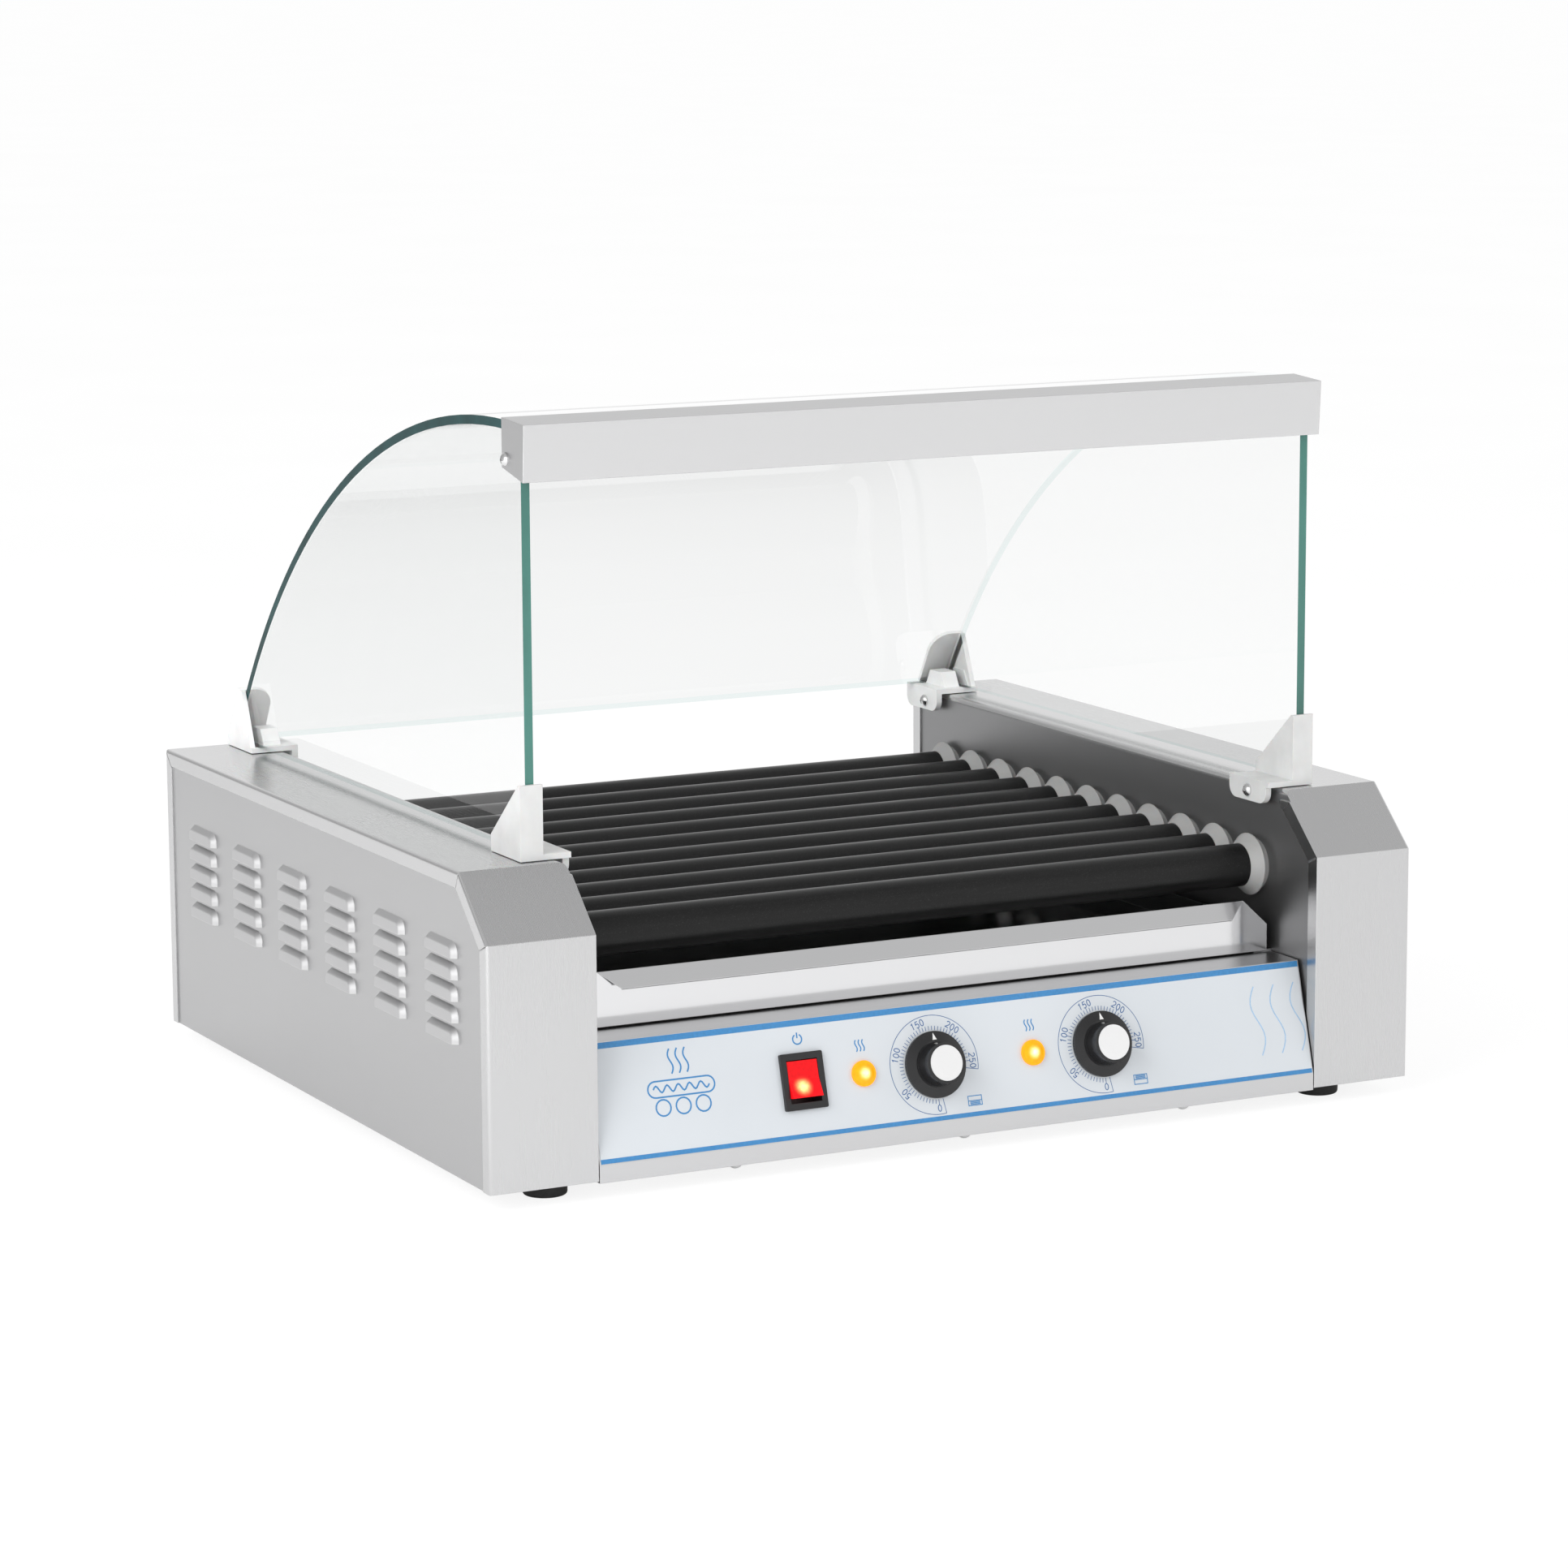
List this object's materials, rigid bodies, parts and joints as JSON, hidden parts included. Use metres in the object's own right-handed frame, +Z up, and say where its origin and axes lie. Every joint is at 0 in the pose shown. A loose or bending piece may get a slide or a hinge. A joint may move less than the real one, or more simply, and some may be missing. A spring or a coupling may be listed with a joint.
{
  "type": "hot dog roller grill",
  "caption": "Countertop roller grill for hot dogs: chain-driven heated rollers between two louvred steel casings, sloped control panel, pull-out drip tray and curved glass guard.",
  "frame": {"origin": "on the floor under the middle of the machine", "axes": "+Z up, +X along the rollers towards the drive side (the right-hand side seen from the front), -Y towards the customer side that carries the control panel"},
  "size_m": [0.5844, 0.4989, 0.4144],
  "materials": {
    "casing_steel": "brushed stainless sheet",
    "panel_steel": "brushed stainless sheet with pressed louvres",
    "base_steel": "galvanised sheet",
    "fascia_steel": "brushed stainless sheet, grain along the panel",
    "tray_steel": "bright rolled stainless sheet",
    "bar_steel": "fine brushed stainless sheet",
    "overlay_film": "pale printed film with blue scales",
    "screw_steel": "bright plated",
    "foot_rubber": "matt black",
    "bushing_plastic": "off-white low-friction plastic",
    "bracket_plastic": "light grey moulding",
    "element_sheath": "heat-tinted sheath",
    "thermostat_body": "plated case",
    "black_plastic": "black moulding",
    "lamp_lens": "translucent amber, lit",
    "rocker_red": "translucent red, lit",
    "knob_black": "satin black with a white pointer",
    "cap_aluminium": "spun disc",
    "motor_steel": "grey painted case",
    "chain_steel": "oiled steel",
    "roller_coating": "satin black non-stick coating",
    "cord_rubber": "black flexible cord",
    "clear_glass": "clear tempered glass with green edges"
  },
  "bodies": {
    "base": {"left_casing_shell": "casing_steel", "right_casing_shell": "casing_steel", "left_louvre_panel": "panel_steel", "right_louvre_panel": "panel_steel", "base_plate": "base_steel", "rear_panel": "casing_steel", "control_panel": "fascia_steel", "panel_overlay": "overlay_film", "base_screws": "screw_steel", "rubber_feet": "foot_rubber", "roller_bushings": "bushing_plastic", "front_brackets": "bracket_plastic", "rear_brackets": "bracket_plastic", "bracket_screws": "screw_steel", "heating_elements": "element_sheath", "element_holders": "casing_steel", "tray_rails": "casing_steel", "front_thermostat": "thermostat_body", "back_thermostat": "thermostat_body", "switch_housing": "black_plastic", "heat_lamps": "lamp_lens", "gear_motor": "motor_steel", "motor_bracket": "casing_steel", "drive_chain": "chain_steel", "terminal_block": "black_plastic", "power_cord": "cord_rubber", "left_glass_pane": "clear_glass", "right_glass_pane": "clear_glass"},
    "guard_top": {"curved_glass": "clear_glass", "front_bar": "bar_steel", "bar_screws": "screw_steel"},
    "tray": {"drip_tray": "tray_steel"},
    "front_dial": {"front_knob": "knob_black", "front_knob_cap": "cap_aluminium"},
    "back_dial": {"back_knob": "knob_black", "back_knob_cap": "cap_aluminium"},
    "rocker": {"rocker_key": "rocker_red"},
    "motor_drive": {"motor_sprocket": "chain_steel"},
    "roller_01": {"roller_01": "roller_coating", "roller_01_sprocket": "chain_steel"},
    "roller_02": {"roller_02": "roller_coating", "roller_02_sprocket": "chain_steel"},
    "roller_03": {"roller_03": "roller_coating", "roller_03_sprocket": "chain_steel"},
    "roller_04": {"roller_04": "roller_coating", "roller_04_sprocket": "chain_steel"},
    "roller_05": {"roller_05": "roller_coating", "roller_05_sprocket": "chain_steel"},
    "roller_06": {"roller_06": "roller_coating", "roller_06_sprocket": "chain_steel"},
    "roller_07": {"roller_07": "roller_coating", "roller_07_sprocket": "chain_steel"},
    "roller_08": {"roller_08": "roller_coating", "roller_08_sprocket": "chain_steel"},
    "roller_09": {"roller_09": "roller_coating", "roller_09_sprocket": "chain_steel"},
    "roller_10": {"roller_10": "roller_coating", "roller_10_sprocket": "chain_steel"},
    "roller_11": {"roller_11": "roller_coating", "roller_11_sprocket": "chain_steel"}
  },
  "joints": [
    {"name": "roller_01_spin", "type": "hinge", "parent": "base", "child": "roller_01", "pos_m": [0, -0.1729, 0.13], "axis": [1, 0, 0], "continuous": true},
    {"name": "roller_02_spin", "type": "hinge", "parent": "base", "child": "roller_02", "pos_m": [0, -0.1364, 0.13], "axis": [1, 0, 0], "continuous": true},
    {"name": "roller_03_spin", "type": "hinge", "parent": "base", "child": "roller_03", "pos_m": [0, -0.0999, 0.13], "axis": [1, 0, 0], "continuous": true},
    {"name": "roller_04_spin", "type": "hinge", "parent": "base", "child": "roller_04", "pos_m": [0, -0.0634, 0.13], "axis": [1, 0, 0], "continuous": true},
    {"name": "roller_05_spin", "type": "hinge", "parent": "base", "child": "roller_05", "pos_m": [0, -0.0269, 0.13], "axis": [1, 0, 0], "continuous": true},
    {"name": "roller_06_spin", "type": "hinge", "parent": "base", "child": "roller_06", "pos_m": [0, 0.0096, 0.13], "axis": [1, 0, 0], "continuous": true},
    {"name": "roller_07_spin", "type": "hinge", "parent": "base", "child": "roller_07", "pos_m": [0, 0.0461, 0.13], "axis": [1, 0, 0], "continuous": true},
    {"name": "roller_08_spin", "type": "hinge", "parent": "base", "child": "roller_08", "pos_m": [0, 0.0826, 0.13], "axis": [1, 0, 0], "continuous": true},
    {"name": "roller_09_spin", "type": "hinge", "parent": "base", "child": "roller_09", "pos_m": [0, 0.1191, 0.13], "axis": [1, 0, 0], "continuous": true},
    {"name": "roller_10_spin", "type": "hinge", "parent": "base", "child": "roller_10", "pos_m": [0, 0.1556, 0.13], "axis": [1, 0, 0], "continuous": true},
    {"name": "roller_11_spin", "type": "hinge", "parent": "base", "child": "roller_11", "pos_m": [0, 0.1921, 0.13], "axis": [1, 0, 0], "continuous": true},
    {"name": "motor_spin", "type": "hinge", "parent": "base", "child": "motor_drive", "pos_m": [0.2375, 0.0096, 0.068], "axis": [1, 0, 0], "continuous": true},
    {"name": "front_dial_turn", "type": "hinge", "parent": "base", "child": "front_dial", "pos_m": [-0.0178, -0.23161, 0.04908], "axis": [0, -0.9619, 0.2735], "range_deg": [-90, 180]},
    {"name": "back_dial_turn", "type": "hinge", "parent": "base", "child": "back_dial", "pos_m": [0.0892, -0.23161, 0.04908], "axis": [0, -0.9619, 0.2735], "range_deg": [-90, 180]},
    {"name": "rocker_tilt", "type": "hinge", "parent": "base", "child": "rocker", "pos_m": [-0.0997, -0.22844, 0.04818], "axis": [1, 0, 0], "range_deg": [0, 18]},
    {"name": "tray_slide", "type": "slide", "parent": "base", "child": "tray", "axis": [0, -1, 0], "range_m": [0, 0.38]},
    {"name": "guard_top_lift", "type": "slide", "parent": "base", "child": "guard_top", "axis": [0, -0.4994, 0.8664], "range_m": [0, 0.09]}
  ],
  "couplings": [
    {"joint": "roller_02_spin", "follows": "roller_01_spin", "ratio": 1},
    {"joint": "roller_03_spin", "follows": "roller_01_spin", "ratio": 1},
    {"joint": "roller_04_spin", "follows": "roller_01_spin", "ratio": 1},
    {"joint": "roller_05_spin", "follows": "roller_01_spin", "ratio": 1},
    {"joint": "roller_06_spin", "follows": "roller_01_spin", "ratio": 1},
    {"joint": "roller_07_spin", "follows": "roller_01_spin", "ratio": 1},
    {"joint": "roller_08_spin", "follows": "roller_01_spin", "ratio": 1},
    {"joint": "roller_09_spin", "follows": "roller_01_spin", "ratio": 1},
    {"joint": "roller_10_spin", "follows": "roller_01_spin", "ratio": 1},
    {"joint": "roller_11_spin", "follows": "roller_01_spin", "ratio": 1},
    {"joint": "motor_spin", "follows": "roller_01_spin", "ratio": 1.25}
  ]
}
